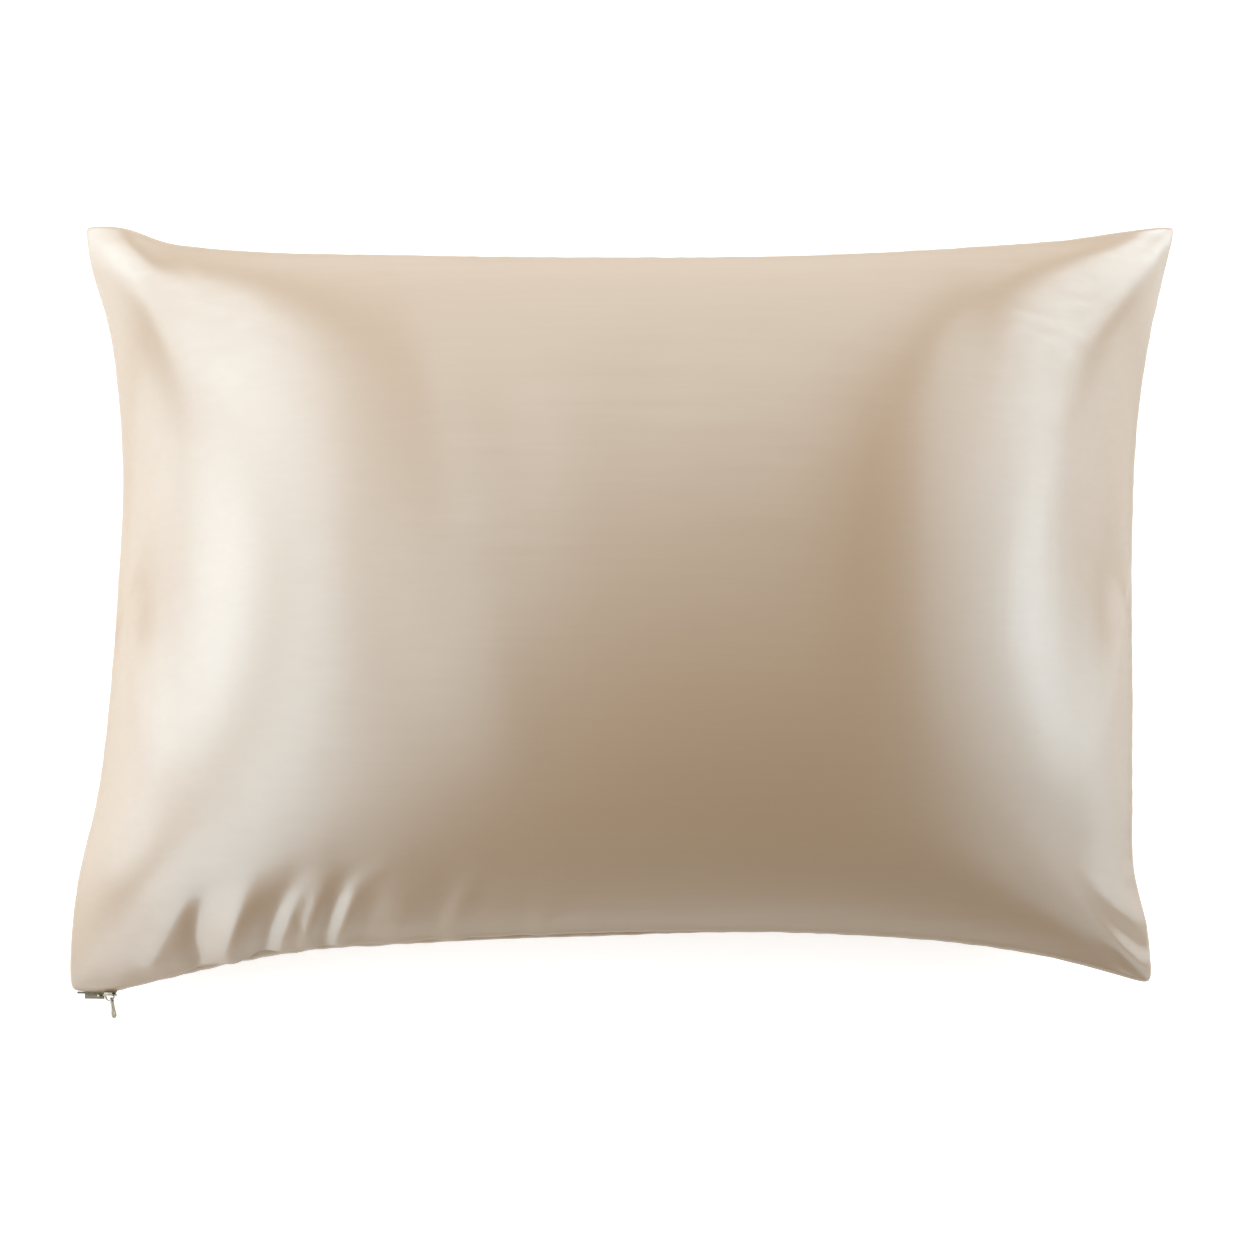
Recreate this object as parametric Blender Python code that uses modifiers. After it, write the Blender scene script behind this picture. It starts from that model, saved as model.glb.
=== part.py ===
"""Satin pillowcase on its pillow, closed along one long edge by an invisible zip, lying on its back.

Frame: origin in the middle of the flat rest face, +X along the long side towards the end away from the
zip slider, +Y across towards the edge with no zip, +Z up out of the front panel. Metres.
"""

import math
from collections import namedtuple

import bmesh
import bpy
from mathutils import Matrix, Vector

# ---------------------------------------------------------------- driving sizes
FLAT_LENGTH = 0.700  # the empty case, laid flat
FLAT_WIDTH = 0.500
SEAM_THICKNESS = 0.0030  # four layers of satin and the seam allowance
CROWN = 0.072  # front panel's rise above the seam, in the middle
FRONT_FLATNESS = (2.8, 2.2)  # how level the crown is along and across: 2 is an ellipse
BACK_REACH = 0.118  # how far the back panel would drop below the seam with no floor
BACK_FLATNESS = (3.6, 2.9)
SEAM_SOFTNESS = 0.035  # how gently the panels leave the seam: 0 would be square to it
FLOOR_SOFTNESS = 0.014  # the back panel eases on to the floor over this height
BULGE = 0.0080  # the back panel bulges out past the zip's seam, towards the slider's end
BULGE_BELOW_SEAM = 0.008  # width of panel from the seam to where it bulges most
BULGE_RISE = (0.05, 0.15)  # shares of the zip edge over which it comes up
BULGE_FALL = (0.48, 0.66)  # and over which it fades
CLEARANCE = 0.0003  # between touching pieces

# How much of the flat size is left between the corners once the pillow is in
LENGTH_LEFT = 0.980
WIDTH_LEFT = 0.960

Corner = namedtuple("Corner", "x y height")
HALF_SPAN_X = FLAT_LENGTH * LENGTH_LEFT / 2
HALF_SPAN_Y = FLAT_WIDTH * WIDTH_LEFT / 2
CORNERS = {
    "zip_left": Corner(-HALF_SPAN_X - 0.0104, -HALF_SPAN_Y - 0.0024, 0.062),
    "zip_right": Corner(HALF_SPAN_X - 0.0052, -HALF_SPAN_Y + 0.0030, 0.064),
    "far_left": Corner(-HALF_SPAN_X - 0.0062, HALF_SPAN_Y + 0.0142, 0.066),
    "far_right": Corner(HALF_SPAN_X + 0.0162, HALF_SPAN_Y + 0.0112, 0.070),
}

# How the thin corners droop: how far, how far along the long side that reaches, how suddenly it starts
# there, and how far it reaches along the short side.
Droop = namedtuple("Droop", "depth along suddenness across")
DROOPS = {
    "zip_left": Droop(0.030, 0.075, 1.5, 0.090),
    "zip_right": Droop(0.010, 0.045, 1.0, 0.045),
    "far_left": Droop(0.034, 0.085, 1.0, 0.110),
    "far_right": Droop(0.028, 0.070, 1.0, 0.090),
}

# Each edge of the case between two corners: the share of the way along it, how far the filling draws the
# seam in from the straight line between the corners, and how far the seam rises above that line.
Station = namedtuple("Station", "share draw_in lift")
ZIP_EDGE = (
    Station(0.000, 0.0000, 0.000),
    Station(0.045, 0.0006, 0.001),
    Station(0.100, 0.0099, 0.004),
    Station(0.160, 0.0200, 0.008),
    Station(0.227, 0.0270, 0.012),
    Station(0.324, 0.0310, 0.015),
    Station(0.450, 0.0347, 0.017),
    Station(0.580, 0.0361, 0.017),
    Station(0.720, 0.0336, 0.015),
    Station(0.833, 0.0269, 0.011),
    Station(0.916, 0.0168, 0.006),
    Station(0.971, 0.0063, 0.002),
    Station(1.000, 0.0000, 0.000),
)
FAR_EDGE = (
    Station(0.000, 0.0000, 0.000),
    Station(0.040, 0.0037, 0.001),
    Station(0.078, 0.0144, 0.003),
    Station(0.118, 0.0194, 0.005),
    Station(0.165, 0.0229, 0.008),
    Station(0.290, 0.0266, 0.013),
    Station(0.470, 0.0286, 0.015),
    Station(0.660, 0.0270, 0.014),
    Station(0.814, 0.0201, 0.010),
    Station(0.900, 0.0136, 0.006),
    Station(0.952, 0.0064, 0.002),
    Station(1.000, 0.0000, 0.000),
)
LEFT_EDGE = (
    Station(0.000, 0.0000, 0.000),
    Station(0.070, 0.0024, 0.001),
    Station(0.137, 0.0070, 0.003),
    Station(0.255, 0.0210, 0.008),
    Station(0.373, 0.0282, 0.012),
    Station(0.510, 0.0325, 0.014),
    Station(0.668, 0.0339, 0.013),
    Station(0.750, 0.0303, 0.011),
    Station(0.864, 0.0199, 0.006),
    Station(0.942, 0.0065, 0.002),
    Station(1.000, 0.0000, 0.000),
)
RIGHT_EDGE = (
    Station(0.000, 0.0000, 0.000),
    Station(0.068, 0.0044, 0.001),
    Station(0.147, 0.0152, 0.004),
    Station(0.247, 0.0187, 0.008),
    Station(0.375, 0.0213, 0.011),
    Station(0.486, 0.0238, 0.012),
    Station(0.600, 0.0253, 0.012),
    Station(0.725, 0.0241, 0.010),
    Station(0.845, 0.0169, 0.006),
    Station(0.924, 0.0088, 0.002),
    Station(1.000, 0.0000, 0.000),
)

# The main folds of the front panel: where each starts at the zip seam or near a corner and where it fades
# out, half its width, and its depth, below zero for a trough and above zero for a ridge.
Fold = namedtuple("Fold", "start end half_width depth")
FOLDS = (
    Fold((-0.267, -0.222), (-0.256, -0.172), 0.008, -0.0046),
    Fold((-0.246, -0.218), (-0.228, -0.168), 0.010, 0.0044),
    Fold((-0.226, -0.216), (-0.198, -0.164), 0.008, -0.0044),
    Fold((-0.207, -0.212), (-0.190, -0.170), 0.009, 0.0030),
    Fold((-0.187, -0.211), (-0.165, -0.162), 0.008, -0.0040),
    Fold((-0.174, -0.209), (-0.159, -0.168), 0.008, 0.0026),
    Fold((-0.160, -0.208), (-0.148, -0.174), 0.009, -0.0016),
    Fold((0.340, 0.232), (0.316, 0.188), 0.007, 0.0026),
    Fold((0.332, -0.226), (0.306, -0.202), 0.007, 0.0024),
)
FOLD_LEAD = 0.15  # a fold comes up over this share of its run, before its start
FOLD_FADE_FROM = 0.45  # and dies away from here
FOLD_FADE_OVER = 0.65

# How the cage's columns and rows are shared out along the long and the short side
Span = namedtuple("Span", "to steps")
COLUMN_SPANS = (
    Span(0.010, 1),
    Span(0.030, 1),
    Span(0.065, 1),
    Span(0.290, 14),
    Span(0.935, 8),
    Span(0.970, 1),
    Span(0.990, 1),
    Span(1.000, 1),
)
ROW_SPANS = (
    Span(0.014, 1),
    Span(0.045, 1),
    Span(0.090, 1),
    Span(0.220, 4),
    Span(0.910, 8),
    Span(0.955, 1),
    Span(0.986, 1),
    Span(1.000, 1),
)

# ---------------------------------------------------------------- zip sizes
COIL_RADIUS = 0.0009
COIL_LENGTH = 0.0280
TAPE_THICKNESS = 0.0008
TAPE_REACH = 0.0042  # how far the tape's end shows past the seam
TAPE_LENGTH = 0.0140
STOP_SIZE = (0.0022, 0.0012, 0.0030)
STOP_TO_SLIDER = 0.0030
SLIDER_LENGTH = 0.0092
SLIDER_WIDTH = 0.0064
SLIDER_PLATE = 0.0010
SLIDER_WALL = 0.0008
SLIDER_WALL_INSET = 0.0007  # the side walls end this much inside the plate's ends
SLIDER_MIDDLE_X = -0.3262
BRIDGE_RISE = 0.0032
BRIDGE_HALF_LENGTH = 0.0030
BRIDGE_RADIUS = 0.0006
BRIDGE_SQUARENESS = 0.7  # 1 is a half ellipse, less is a squarer arch
PULL_LENGTH = 0.0135
PULL_THICKNESS = 0.0012
PULL_NECK = 0.0036
PULL_WIDTH = 0.0056
PULL_WAIST = 0.35  # how far down the pull its straight neck ends, as a share of its length
PULL_EYE_RADIUS = 0.00115
PULL_ON_BRIDGE_X = 0.0014  # where along the bridge the pull hangs
PULL_TURN = math.radians(10)  # it swings a little away from the corner

SATIN = ("champagne_satin", (0.62, 0.50, 0.39, 1.0), 0.38, 0.0)
TAPE = ("zip_tape_cloth", (0.36, 0.33, 0.26, 1.0), 0.85, 0.0)
METAL = ("zip_metal", (0.46, 0.42, 0.34, 1.0), 0.32, 1.0)


# ---------------------------------------------------------------- small helpers
def clear_scene():
    for old in list(bpy.data.objects):
        bpy.data.objects.remove(old, do_unlink=True)


def material(name, colour, roughness, metallic):
    made = bpy.data.materials.new(name)
    made.use_nodes = True
    surface = made.node_tree.nodes["Principled BSDF"]
    surface.inputs["Base Color"].default_value = colour
    surface.inputs["Roughness"].default_value = roughness
    surface.inputs["Metallic"].default_value = metallic
    return made


def collection(name):
    made = bpy.data.collections.new(name)
    bpy.context.scene.collection.children.link(made)
    return made


def into(group, obj, finish=None):
    for old in list(obj.users_collection):
        old.objects.unlink(obj)
    group.objects.link(obj)
    if finish is not None:
        obj.data.materials.clear()
        obj.data.materials.append(finish)
    return obj


def ease(share):
    """0 to 1 with no slope at either end."""
    share = min(1.0, max(0.0, share))
    return share * share * (3 - 2 * share)


# ---------------------------------------------------------------- the seam line
def smooth_value(stations, share, column):
    """The value of one column of an edge table, on a smooth curve through its rows."""
    last = len(stations) - 1
    k = max(i for i in range(last) if stations[i].share <= share or i == 0)

    def value(i):
        return getattr(stations[i], column)

    def slope(i):
        before, after = max(0, i - 1), min(last, i + 1)
        return (value(after) - value(before)) / (stations[after].share - stations[before].share)

    step = stations[k + 1].share - stations[k].share
    t = (share - stations[k].share) / step
    return (
        value(k) * (1 + 2 * t) * (1 - t) ** 2
        + slope(k) * step * t * (1 - t) ** 2
        + value(k + 1) * t * t * (3 - 2 * t)
        + slope(k + 1) * step * t * t * (t - 1)
    )


def edge_point(stations, first, last, share, inward):
    """A point of the seam line on one edge."""
    a, b = Vector(CORNERS[first]), Vector(CORNERS[last])
    point = a.lerp(b, share)
    point += Vector(inward) * smooth_value(stations, share, "draw_in")
    point.z += smooth_value(stations, share, "lift")
    return point


def droop(u, v):
    """How far the corners hang down at a place."""
    total = 0.0
    for name, corner in DROOPS.items():
        along = (1 - u if "right" in name else u) * FLAT_LENGTH
        across = (1 - v if "far" in name else v) * FLAT_WIDTH
        reach = (along / corner.along) ** corner.suddenness + across / corner.across
        total += corner.depth * math.exp(-reach)
    return total


def seam_surface(u, v):
    """The patch spanned by the four seam edges: where the panels would meet if the case were empty."""
    near = edge_point(ZIP_EDGE, "zip_left", "zip_right", u, (0, 1, 0))
    far = edge_point(FAR_EDGE, "far_left", "far_right", u, (0, -1, 0))
    left = edge_point(LEFT_EDGE, "zip_left", "far_left", v, (1, 0, 0))
    right = edge_point(RIGHT_EDGE, "zip_right", "far_right", v, (-1, 0, 0))
    near_corners = Vector(CORNERS["zip_left"]).lerp(Vector(CORNERS["zip_right"]), u)
    far_corners = Vector(CORNERS["far_left"]).lerp(Vector(CORNERS["far_right"]), u)
    point = near.lerp(far, v) + left.lerp(right, u) - near_corners.lerp(far_corners, v)
    point.z -= droop(u, v)
    return point


# ---------------------------------------------------------------- the filled form
def fullness(u, v, flatness):
    """How full the case is at a place: 0 on the seam, 1 in the middle, thin towards the corners."""
    along = max(0.0, 1 - abs(2 * u - 1) ** flatness[0])
    across = max(0.0, 1 - abs(2 * v - 1) ** flatness[1])
    soft = SEAM_SOFTNESS * (1 - (1 - along) * (1 - across)) ** 2
    most = math.sqrt(1 + SEAM_SOFTNESS) - math.sqrt(SEAM_SOFTNESS)
    return (math.sqrt(along * across + soft) - math.sqrt(soft)) / most


def front_base(u, v):
    point = seam_surface(u, v)
    point.z += SEAM_THICKNESS / 2 + CROWN * fullness(u, v, FRONT_FLATNESS)
    return point


def fold_depth(x, y):
    """The folds' depth at a place on the front panel."""
    depth = 0.0
    for fold in FOLDS:
        start, end, here = Vector(fold.start), Vector(fold.end), Vector((x, y))
        run = end - start
        along = (here - start).dot(run) / run.length_squared
        aside = abs((here - start).cross(run)) / run.length
        body = ease(along / FOLD_LEAD + 1) * (1 - ease((along - FOLD_FADE_FROM) / FOLD_FADE_OVER))
        depth += fold.depth * body * math.exp(-((aside / fold.half_width) ** 2))
    return depth


def front_point(u, v):
    """The front panel, with its folds raised and sunk square to the surface."""
    step = 0.004
    point = front_base(u, v)
    low_u, high_u = max(0.0, u - step), min(1.0, u + step)
    low_v, high_v = max(0.0, v - step), min(1.0, v + step)
    along_u = front_base(high_u, v) - front_base(low_u, v)
    along_v = front_base(u, high_v) - front_base(u, low_v)
    outward = along_u.cross(along_v).normalized()
    on_seam = min(u, 1 - u, v, 1 - v) <= 0
    return point if on_seam else point + outward * fold_depth(point.x, point.y)


def back_point(u, v):
    """The back panel: it drops from the seam and lies flat where the floor stops it."""
    point = seam_surface(u, v)
    below = v * FLAT_WIDTH / BULGE_BELOW_SEAM
    comes, goes = [ease((u - first) / (last - first)) for first, last in (BULGE_RISE, BULGE_FALL)]
    point.y -= BULGE * comes * (1 - goes) * below * math.exp(1 - below)
    height = point.z - SEAM_THICKNESS / 2 - BACK_REACH * fullness(u, v, BACK_FLATNESS)
    if height < -FLOOR_SOFTNESS:
        height = 0.0
    elif height < FLOOR_SOFTNESS:
        height = (height + FLOOR_SOFTNESS) ** 2 / (4 * FLOOR_SOFTNESS)
    point.z = height
    return point


def stations_of(spans):
    places = [0.0]
    for span in spans:
        start = places[-1]
        places += [start + (span.to - start) * (i + 1) / span.steps for i in range(span.steps)]
    return places


def add_panel(bm, columns, rows, place):
    """A grid of quads, laid out by place(u, v). Returns its boundary edges."""
    grid = bmesh.ops.create_grid(bm, x_segments=len(columns) - 1, y_segments=len(rows) - 1, size=1)
    edges = {edge for vert in grid["verts"] for edge in vert.link_edges}
    for vert in grid["verts"]:
        column = round((vert.co.x + 1) / 2 * (len(columns) - 1))
        row = round((vert.co.y + 1) / 2 * (len(rows) - 1))
        vert.co = place(columns[column], rows[row])
    return [edge for edge in edges if edge.is_boundary]


def make_pillowcase(group, finish):
    """Two panels sewn all round and filled: one closed solid, smoothed from a coarse cage."""
    columns, rows = stations_of(COLUMN_SPANS), stations_of(ROW_SPANS)
    bm = bmesh.new()
    seam = add_panel(bm, columns, rows, front_point) + add_panel(bm, columns, rows, back_point)
    bmesh.ops.bridge_loops(bm, edges=seam)
    bmesh.ops.recalc_face_normals(bm, faces=bm.faces)
    mesh = bpy.data.meshes.new("pillowcase")
    bm.to_mesh(mesh)
    bm.free()
    mesh.shade_smooth()
    obj = bpy.data.objects.new("pillowcase", mesh)
    into(group, obj, finish)
    smooth = obj.modifiers.new("soft form", "SUBSURF")
    smooth.levels = smooth.render_levels = 1
    return obj


# ---------------------------------------------------------------- the zip
def seam_at(x):
    """The zip edge's seam at a place along the long side."""
    left, right = CORNERS["zip_left"], CORNERS["zip_right"]
    return seam_surface((x - left.x) / (right.x - left.x), 0)


def zip_line(x):
    """The closed zip's own line, just outside the seam, before it is tilted to follow the seam down."""
    return Vector((x, seam_at(x).y - CLEARANCE - COIL_RADIUS, seam_at(SLIDER_MIDDLE_X).z))


def tilt_with_seam(zip_pieces):
    """Turns the zip's pieces about the slider's middle on to the slope of the seam there."""
    reach = COIL_LENGTH / 2
    before, after = seam_at(SLIDER_MIDDLE_X - reach), seam_at(SLIDER_MIDDLE_X + reach)
    slope = math.atan2(after.z - before.z, after.x - before.x)
    middle = zip_line(SLIDER_MIDDLE_X)
    turn = Matrix.Translation(middle) @ Matrix.Rotation(-slope, 4, "Y") @ Matrix.Translation(-middle)
    for piece in zip_pieces:
        piece.matrix_basis = turn @ piece.matrix_basis


def bevelled_box(name, group, finish, middle, size, bevel):
    bpy.ops.mesh.primitive_cube_add(size=1, location=middle)
    obj = bpy.context.active_object
    obj.name = obj.data.name = name
    obj.data.transform(Matrix.Diagonal((*size, 1)))
    edge = obj.modifiers.new("soft edges", "BEVEL")
    edge.width = bevel
    edge.segments = 2
    return into(group, obj, finish)


def make_coil(group, finish):
    """The end of the closed coil that shows outside the seam."""
    start_x = CORNERS["zip_left"].x + 0.0040
    curve = bpy.data.curves.new("zip_coil", "CURVE")
    curve.dimensions = "3D"
    curve.bevel_depth = COIL_RADIUS
    curve.bevel_resolution = 2
    curve.use_fill_caps = True
    line = curve.splines.new("POLY")
    steps = 6
    line.points.add(steps)
    for i, point in enumerate(line.points):
        point.co = (*zip_line(start_x + COIL_LENGTH * i / steps), 1)
    obj = bpy.data.objects.new("zip_coil", curve)
    return into(group, obj, finish)


def make_tape(group, finish):
    """The tape's end, which shows under the coil between the corner and the slider."""
    end_x = SLIDER_MIDDLE_X - SLIDER_LENGTH / 2 - CLEARANCE
    middle_x = end_x - TAPE_LENGTH / 2
    line = zip_line(middle_x)
    drop = COIL_RADIUS + 2 * CLEARANCE + TAPE_THICKNESS / 2
    middle = (middle_x, line.y + COIL_RADIUS - TAPE_REACH / 2 - 2 * CLEARANCE, line.z - drop)
    size = (TAPE_LENGTH, TAPE_REACH, TAPE_THICKNESS)
    return bevelled_box("zip_tape", group, finish, middle, size, 0.0002)


def make_stop(group, finish):
    """The small metal stop pressed on the coil's end."""
    line = zip_line(SLIDER_MIDDLE_X - SLIDER_LENGTH / 2 - STOP_TO_SLIDER)
    middle = line - Vector((0, COIL_RADIUS + CLEARANCE + STOP_SIZE[1] / 2, 0))
    return bevelled_box("zip_stop", group, finish, middle, STOP_SIZE, 0.0003)


def mesh_from_curve(curve_obj, group):
    """A curve piece as a welded mesh, so that it can be joined."""
    bpy.context.view_layer.update()
    graph = bpy.context.evaluated_depsgraph_get()
    mesh = bpy.data.meshes.new_from_object(curve_obj.evaluated_get(graph))
    bm = bmesh.new()
    bm.from_mesh(mesh)
    bmesh.ops.remove_doubles(bm, verts=bm.verts, dist=1e-6)
    bmesh.ops.recalc_face_normals(bm, faces=bm.faces)
    bm.to_mesh(mesh)
    bm.free()
    made = bpy.data.objects.new(curve_obj.name + "_mesh", mesh)
    made.matrix_world = curve_obj.matrix_world
    bpy.data.objects.remove(curve_obj, do_unlink=True)
    group.objects.link(made)
    return made


def make_slider(group, cutters, finish):
    """The slider's outer plate with its two side walls and the bridge that the pull hangs on."""
    middle = zip_line(SLIDER_MIDDLE_X)
    plate_gap = COIL_RADIUS + CLEARANCE
    plate_middle = middle + Vector((0, -plate_gap - SLIDER_PLATE / 2, 0))
    size = (SLIDER_LENGTH, SLIDER_PLATE, SLIDER_WIDTH)
    slider = bevelled_box("zip_slider", group, finish, plate_middle, size, 0.00025)
    joined = []
    for side in (-1, 1):
        depth = plate_gap + SLIDER_PLATE / 2
        aside = side * (SLIDER_WIDTH - SLIDER_WALL - CLEARANCE) / 2
        wall_middle = middle + Vector((0, -depth / 2, aside))
        wall_size = (SLIDER_LENGTH - 2 * SLIDER_WALL_INSET, depth, SLIDER_WALL)
        name = f"slider_wall_{side}"
        joined.append(bevelled_box(name, cutters, None, wall_middle, wall_size, 0.00015))
    bridge = bpy.data.curves.new("slider_bridge", "CURVE")
    bridge.dimensions = "3D"
    bridge.bevel_depth = BRIDGE_RADIUS
    bridge.bevel_resolution = 2
    bridge.use_fill_caps = True
    arch = bridge.splines.new("POLY")
    steps = 12
    arch.points.add(steps)
    for i, point in enumerate(arch.points):
        turn = math.pi * i / steps
        along = -BRIDGE_HALF_LENGTH * math.cos(turn)
        rise = BRIDGE_RISE * math.sin(turn) ** BRIDGE_SQUARENESS
        point.co = (*(plate_middle + Vector((along, -rise, 0))), 1)
    bridge_obj = into(cutters, bpy.data.objects.new("slider_bridge", bridge))
    joined.append(mesh_from_curve(bridge_obj, cutters))
    for part in joined:
        part.hide_render = True
        part.display_type = "WIRE"
        union = slider.modifiers.new(f"join {part.name}", "BOOLEAN")
        union.operation = "UNION"
        union.object = part
    return slider


def pull_outline(curve):
    """The pull's flat outline, hinge end at the origin and free end along -Y, with its eye."""
    outline = curve.splines.new("POLY")
    outline.use_cyclic_u = True
    round_end = PULL_WIDTH / 2
    neck = PULL_NECK / 2
    points = []
    for i in range(9):
        turn = math.pi * i / 8
        points.append((neck * math.cos(turn), neck * math.sin(turn)))
    waist = -PULL_LENGTH * PULL_WAIST
    end = -PULL_LENGTH + neck + round_end
    points.append((-neck, waist))
    for i in range(9):
        turn = math.pi + math.pi * i / 8
        points.append((round_end * math.cos(turn), end + round_end * math.sin(turn)))
    points.append((neck, waist))
    outline.points.add(len(points) - 1)
    for point, (x, y) in zip(outline.points, points, strict=True):
        point.co = (x, y, 0, 1)
    eye = curve.splines.new("POLY")
    eye.use_cyclic_u = True
    eye.points.add(15)
    for i, point in enumerate(eye.points):
        turn = -2 * math.pi * i / 16
        point.co = (PULL_EYE_RADIUS * math.cos(turn), PULL_EYE_RADIUS * math.sin(turn), 0, 1)


def make_pull(group, finish):
    """The flat pull, its eye round the top of the bridge, standing straight out from the zip."""
    curve = bpy.data.curves.new("zip_pull", "CURVE")
    curve.dimensions = "2D"
    curve.fill_mode = "BOTH"
    curve.extrude = PULL_THICKNESS / 2
    pull_outline(curve)
    obj = bpy.data.objects.new("zip_pull", curve)
    into(group, obj, finish)
    middle = zip_line(SLIDER_MIDDLE_X)
    plate_face = middle.y - COIL_RADIUS - CLEARANCE - SLIDER_PLATE / 2
    hinge = Vector((SLIDER_MIDDLE_X + PULL_ON_BRIDGE_X, plate_face - BRIDGE_RISE, middle.z))
    edge_on = Matrix.Rotation(math.radians(90), 4, "Y")
    obj.matrix_world = Matrix.Translation(hinge) @ Matrix.Rotation(PULL_TURN, 4, "Z") @ edge_on
    return obj


def main():
    clear_scene()
    group, cutters = collection("satin_pillowcase"), collection("joined_shapes")
    satin, tape, metal = material(*SATIN), material(*TAPE), material(*METAL)
    case = make_pillowcase(group, satin)
    make_coil(group, tape)
    make_tape(group, tape)
    make_stop(group, metal)
    make_slider(group, cutters, metal)
    make_pull(group, metal)
    tilt_with_seam([piece for piece in (*group.objects, *cutters.objects) if piece != case])


main()
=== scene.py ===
"""Looks of the satin pillowcase: its filled panels, gathers, the zip and the satin."""

import math
from collections import namedtuple

import bmesh
import bpy
import numpy as np
from mathutils import Matrix, Vector


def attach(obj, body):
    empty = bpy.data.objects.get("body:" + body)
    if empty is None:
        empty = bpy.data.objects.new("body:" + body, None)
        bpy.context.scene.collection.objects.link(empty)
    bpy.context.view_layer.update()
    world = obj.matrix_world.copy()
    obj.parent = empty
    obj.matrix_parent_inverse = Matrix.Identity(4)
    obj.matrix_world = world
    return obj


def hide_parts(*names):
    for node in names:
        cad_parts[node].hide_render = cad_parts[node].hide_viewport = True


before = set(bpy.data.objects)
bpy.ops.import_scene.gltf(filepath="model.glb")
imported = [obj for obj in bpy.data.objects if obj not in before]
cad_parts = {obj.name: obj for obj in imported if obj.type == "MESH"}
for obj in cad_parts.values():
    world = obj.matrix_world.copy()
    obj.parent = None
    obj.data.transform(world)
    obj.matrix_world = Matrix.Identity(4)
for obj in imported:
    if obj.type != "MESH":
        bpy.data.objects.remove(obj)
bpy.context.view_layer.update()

# ---------------------------------------------------------------- the case's driving sizes, as in the CAD
FLAT_LENGTH = 0.700
FLAT_WIDTH = 0.500
CROWN = 0.072  # how far the front panel rises from the seam's patch
FRONT_FLATNESS = (2.8, 2.2)  # along and across: 2 is round, more is flatter in the middle
BACK_REACH = 0.118  # how far down the back panel would hang, were there no floor
BACK_FLATNESS = (3.6, 2.9)
FLOOR_SOFTNESS = 0.014  # the height over which the back panel turns flat on to the floor
SEAM_SOFTNESS = 0.035  # how gently the panels leave the seam: 0 would be square to it
BULGE = 0.0080  # the back panel bulges out past the zip's seam, towards the slider's end
BULGE_BELOW_SEAM = 0.008
BULGE_RISE = (0.05, 0.15)  # shares of the zip edge over which it comes
BULGE_FALL = (0.48, 0.66)  # and over which it goes
SPAN_SHARE_X = 0.980  # the filled case spans this much of its flat size, before its corners' own shifts
SPAN_SHARE_Y = 0.960
HALF_SPAN_X = FLAT_LENGTH * SPAN_SHARE_X / 2
HALF_SPAN_Y = FLAT_WIDTH * SPAN_SHARE_Y / 2

Corner = namedtuple("Corner", "x y height")
CORNERS = {
    "zip_left": Corner(-HALF_SPAN_X - 0.0104, -HALF_SPAN_Y - 0.0024, 0.062),
    "zip_right": Corner(HALF_SPAN_X - 0.0052, -HALF_SPAN_Y + 0.0030, 0.064),
    "far_left": Corner(-HALF_SPAN_X - 0.0062, HALF_SPAN_Y + 0.0142, 0.066),
    "far_right": Corner(HALF_SPAN_X + 0.0162, HALF_SPAN_Y + 0.0112, 0.070),
}

# How the thin corners droop: how far, how far along the long side that reaches, how suddenly it starts
# there, and how far it reaches along the short side.
Droop = namedtuple("Droop", "depth along suddenness across")
DROOPS = {
    "zip_left": Droop(0.030, 0.075, 1.5, 0.090),
    "zip_right": Droop(0.010, 0.045, 1.0, 0.045),
    "far_left": Droop(0.034, 0.085, 1.0, 0.110),
    "far_right": Droop(0.028, 0.070, 1.0, 0.090),
}

# The seam between two corners: the share of the way, how far it is drawn in and how far it rises.
Station = namedtuple("Station", "share draw_in lift")
ZIP_EDGE = (
    Station(0.000, 0.0000, 0.000),
    Station(0.045, 0.0006, 0.001),
    Station(0.100, 0.0099, 0.004),
    Station(0.160, 0.0200, 0.008),
    Station(0.227, 0.0270, 0.012),
    Station(0.324, 0.0310, 0.015),
    Station(0.450, 0.0347, 0.017),
    Station(0.580, 0.0361, 0.017),
    Station(0.720, 0.0336, 0.015),
    Station(0.833, 0.0269, 0.011),
    Station(0.916, 0.0168, 0.006),
    Station(0.971, 0.0063, 0.002),
    Station(1.000, 0.0000, 0.000),
)
FAR_EDGE = (
    Station(0.000, 0.0000, 0.000),
    Station(0.040, 0.0037, 0.001),
    Station(0.078, 0.0144, 0.003),
    Station(0.118, 0.0194, 0.005),
    Station(0.165, 0.0229, 0.008),
    Station(0.290, 0.0266, 0.013),
    Station(0.470, 0.0286, 0.015),
    Station(0.660, 0.0270, 0.014),
    Station(0.814, 0.0201, 0.010),
    Station(0.900, 0.0136, 0.006),
    Station(0.952, 0.0064, 0.002),
    Station(1.000, 0.0000, 0.000),
)
LEFT_EDGE = (
    Station(0.000, 0.0000, 0.000),
    Station(0.070, 0.0024, 0.001),
    Station(0.137, 0.0070, 0.003),
    Station(0.255, 0.0210, 0.008),
    Station(0.373, 0.0282, 0.012),
    Station(0.510, 0.0325, 0.014),
    Station(0.668, 0.0339, 0.013),
    Station(0.750, 0.0303, 0.011),
    Station(0.864, 0.0199, 0.006),
    Station(0.942, 0.0065, 0.002),
    Station(1.000, 0.0000, 0.000),
)
RIGHT_EDGE = (
    Station(0.000, 0.0000, 0.000),
    Station(0.068, 0.0044, 0.001),
    Station(0.147, 0.0152, 0.004),
    Station(0.247, 0.0187, 0.008),
    Station(0.375, 0.0213, 0.011),
    Station(0.486, 0.0238, 0.012),
    Station(0.600, 0.0253, 0.012),
    Station(0.725, 0.0241, 0.010),
    Station(0.845, 0.0169, 0.006),
    Station(0.924, 0.0088, 0.002),
    Station(1.000, 0.0000, 0.000),
)
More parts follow.
